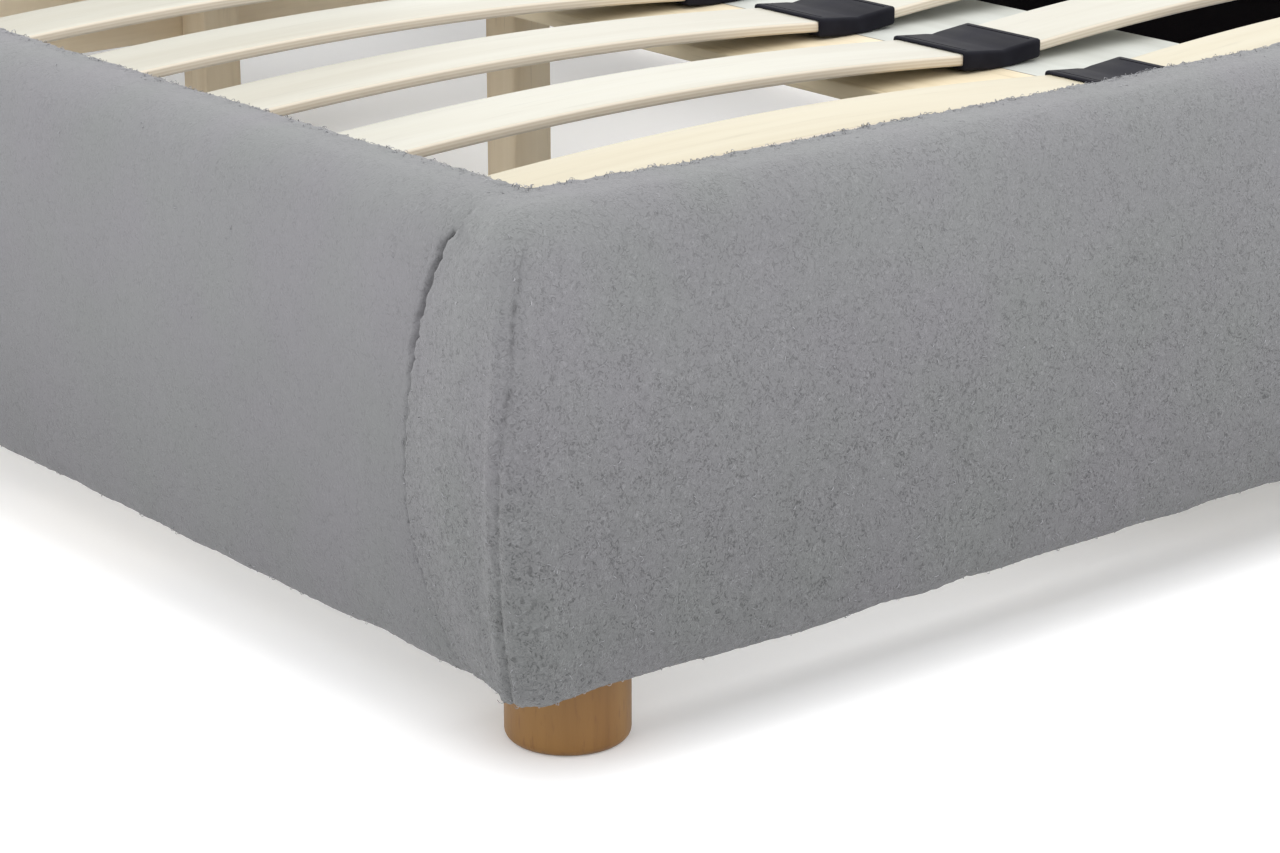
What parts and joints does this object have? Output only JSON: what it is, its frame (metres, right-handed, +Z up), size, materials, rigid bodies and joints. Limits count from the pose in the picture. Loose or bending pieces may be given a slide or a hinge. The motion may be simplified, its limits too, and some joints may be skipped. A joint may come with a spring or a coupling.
{
  "type": "sleigh bed",
  "caption": "Upholstered sleigh bed with a rolled headboard, low padded rails on short round feet, and a sprung slatted base in two rows.",
  "frame": {"origin": "middle of the bed's footprint, on the floor", "axes": "+Y from the foot panel to the headboard, +Z up, +X to the right of someone standing at the foot and facing the headboard"},
  "size_m": [1.347, 2.2324, 1.05],
  "materials": {
    "upholstery": "mid-grey boucle with short looped pile, fully matt",
    "lining": "black non-woven lining cloth, matt",
    "slat_birch": "pale sanded birch plywood with a satin lacquer",
    "frame_timber": "planed softwood, unfinished",
    "panel_board": "raw particle board, hidden under padding and lining",
    "leg_timber": "oiled beech, satin",
    "plastic": "black moulded plastic with a soft sheen",
    "zinc_steel": "zinc-plated screws and bolts"
  },
  "bodies": {
    "root": {"headboard_board": "panel_board", "headboard_padding": "upholstery", "footboard_board": "panel_board", "footboard_padding": "upholstery", "side_rail_board_left": "panel_board", "side_rail_padding_left": "upholstery", "slat_ledge_left": "frame_timber", "side_rail_board_right": "panel_board", "side_rail_padding_right": "upholstery", "slat_ledge_right": "frame_timber", "leg_foot_left": "leg_timber", "corner_block_foot_left": "frame_timber", "leg_foot_right": "leg_timber", "corner_block_foot_right": "frame_timber", "leg_head_left": "leg_timber", "corner_block_head_left": "frame_timber", "leg_head_right": "leg_timber", "corner_block_head_right": "frame_timber", "centre_board": "frame_timber", "centre_cleat_foot": "frame_timber", "centre_cleat_head": "frame_timber", "centre_leg_1": "frame_timber", "centre_leg_2": "frame_timber", "cross_rail": "frame_timber", "slat_01_left": "slat_birch", "slat_01_right": "slat_birch", "slat_cap_01": "plastic", "slat_02_left": "slat_birch", "slat_02_right": "slat_birch", "slat_cap_02": "plastic", "slat_03_left": "slat_birch", "slat_03_right": "slat_birch", "slat_cap_03": "plastic", "slat_04_left": "slat_birch", "slat_04_right": "slat_birch", "slat_cap_04": "plastic", "slat_05_left": "slat_birch", "slat_05_right": "slat_birch", "slat_cap_05": "plastic", "slat_06_left": "slat_birch", "slat_06_right": "slat_birch", "slat_cap_06": "plastic", "slat_07_left": "slat_birch", "slat_07_right": "slat_birch", "slat_cap_07": "plastic", "slat_08_left": "slat_birch", "slat_08_right": "slat_birch", "slat_cap_08": "plastic", "slat_09_left": "slat_birch", "slat_09_right": "slat_birch", "slat_cap_09": "plastic", "slat_10_left": "slat_birch", "slat_10_right": "slat_birch", "slat_cap_10": "plastic", "slat_11_left": "slat_birch", "slat_11_right": "slat_birch", "slat_cap_11": "plastic", "slat_12_left": "slat_birch", "slat_12_right": "slat_birch", "slat_cap_12": "plastic"}
  },
  "joints": []
}
